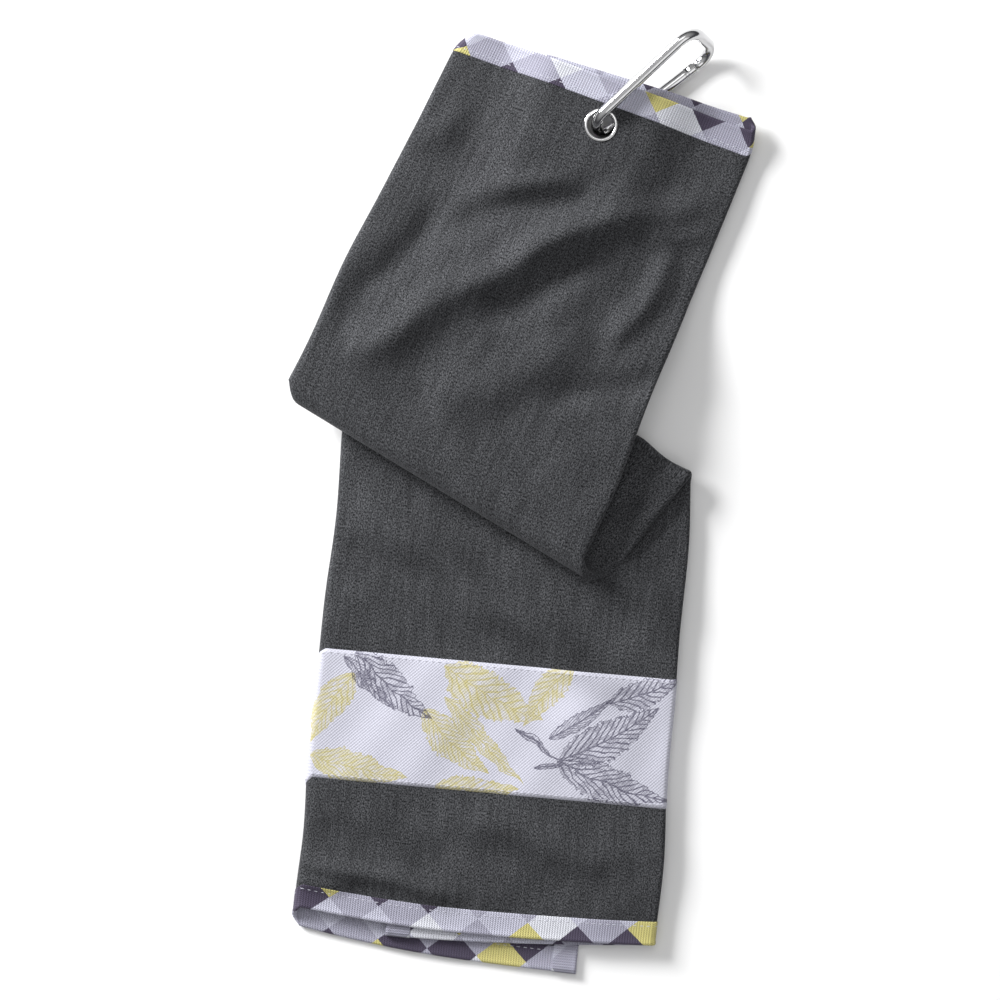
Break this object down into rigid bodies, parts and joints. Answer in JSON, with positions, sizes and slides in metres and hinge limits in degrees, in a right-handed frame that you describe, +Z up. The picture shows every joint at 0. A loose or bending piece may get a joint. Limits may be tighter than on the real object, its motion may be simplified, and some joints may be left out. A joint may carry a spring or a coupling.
{
  "type": "golf towel",
  "caption": "Trifold velour golf towel with patterned woven binding and printed band, laid in a Z-fold, with a grommet and a spring-gate carabiner.",
  "frame": {"origin": "middle of the plan box, on the surface that the folded towel lies on", "axes": "+Z up, out of the surface; +Y along the towel's length towards the carabiner; +X to the right when looking down"},
  "size_m": [0.2084, 0.4186, 0.0279],
  "materials": {
    "velour": "charcoal heather velour, short brushed pile",
    "binding_tape": "ribbed woven tape printed with harlequin diamonds",
    "band_canvas": "pale canvas weave printed with leaves",
    "sewing_thread": "spun polyester sewing thread",
    "polished_steel": "polished plated steel",
    "spring_steel": "drawn spring wire"
  },
  "bodies": {
    "towel": {"towel_cloth": "velour", "top_binding": "binding_tape", "bottom_binding": "binding_tape", "left_binding": "binding_tape", "right_binding": "binding_tape", "printed_band": "band_canvas", "top_binding_needle_thread": "sewing_thread", "top_binding_bobbin_thread": "sewing_thread", "bottom_binding_needle_thread": "sewing_thread", "bottom_binding_bobbin_thread": "sewing_thread", "left_binding_needle_thread": "sewing_thread", "left_binding_bobbin_thread": "sewing_thread", "right_binding_needle_thread": "sewing_thread", "right_binding_bobbin_thread": "sewing_thread", "band_upper_needle_thread": "sewing_thread", "band_upper_bobbin_thread": "sewing_thread", "band_lower_needle_thread": "sewing_thread", "band_lower_bobbin_thread": "sewing_thread", "grommet_eyelet": "polished_steel", "grommet_washer": "polished_steel"},
    "carabiner": {"carabiner_body": "polished_steel"},
    "gate": {"carabiner_gate": "polished_steel", "gate_pivot_pin": "polished_steel", "gate_latch_pin": "polished_steel", "gate_plunger": "polished_steel", "gate_spring": "spring_steel"}
  },
  "joints": [
    {"name": "carabiner_swing", "type": "hinge", "parent": "towel", "child": "carabiner", "pos_m": [0.0329, 0.16592, 0.01059], "axis": [0, 0, 1], "range_deg": [-4, 70]},
    {"name": "gate_open", "type": "hinge", "parent": "carabiner", "child": "gate", "pos_m": [0.04566, 0.17042, 0.00284], "axis": [0.5339, -0.7079, 0.4623], "range_deg": [0, 17], "stiffness_Nm_per_rad": 0.02, "springref_deg": -20.05}
  ]
}
